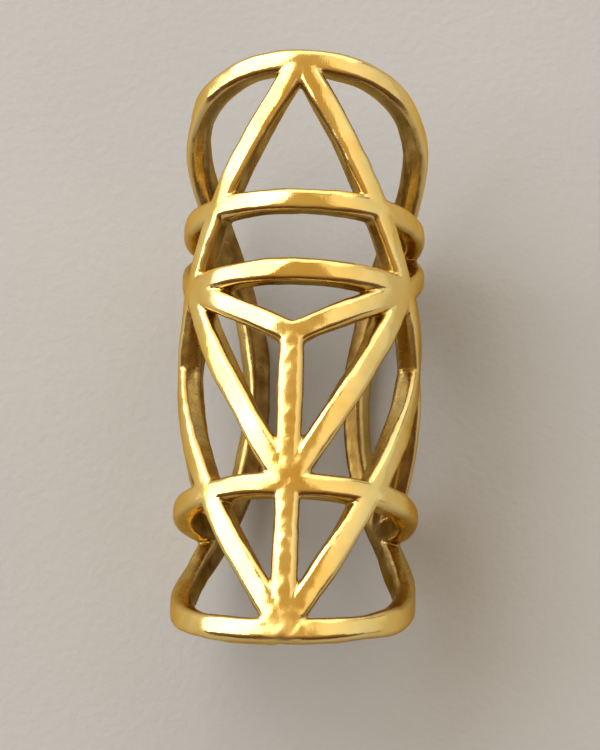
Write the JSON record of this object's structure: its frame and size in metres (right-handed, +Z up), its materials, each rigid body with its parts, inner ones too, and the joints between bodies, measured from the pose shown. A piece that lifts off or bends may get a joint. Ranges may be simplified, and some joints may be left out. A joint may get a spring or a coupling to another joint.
{
  "type": "dreadlock bead",
  "caption": "Openwork hair cuff for a dreadlock: a round star emblem in polished gold plate, rolled into a tube that is open along its back.",
  "frame": {"origin": "on the surface that the bead lies on, below the middle of the emblem", "axes": "+Y along the hole, towards the emblem's plain point; +Z up, out of the emblem's middle; +X to the right, seen from below the emblem"},
  "size_m": [0.01, 0.025, 0.0097],
  "materials": {
    "gold": "polished gold plate"
  },
  "bodies": {
    "root": {"openwork_tube": "gold"}
  },
  "joints": []
}
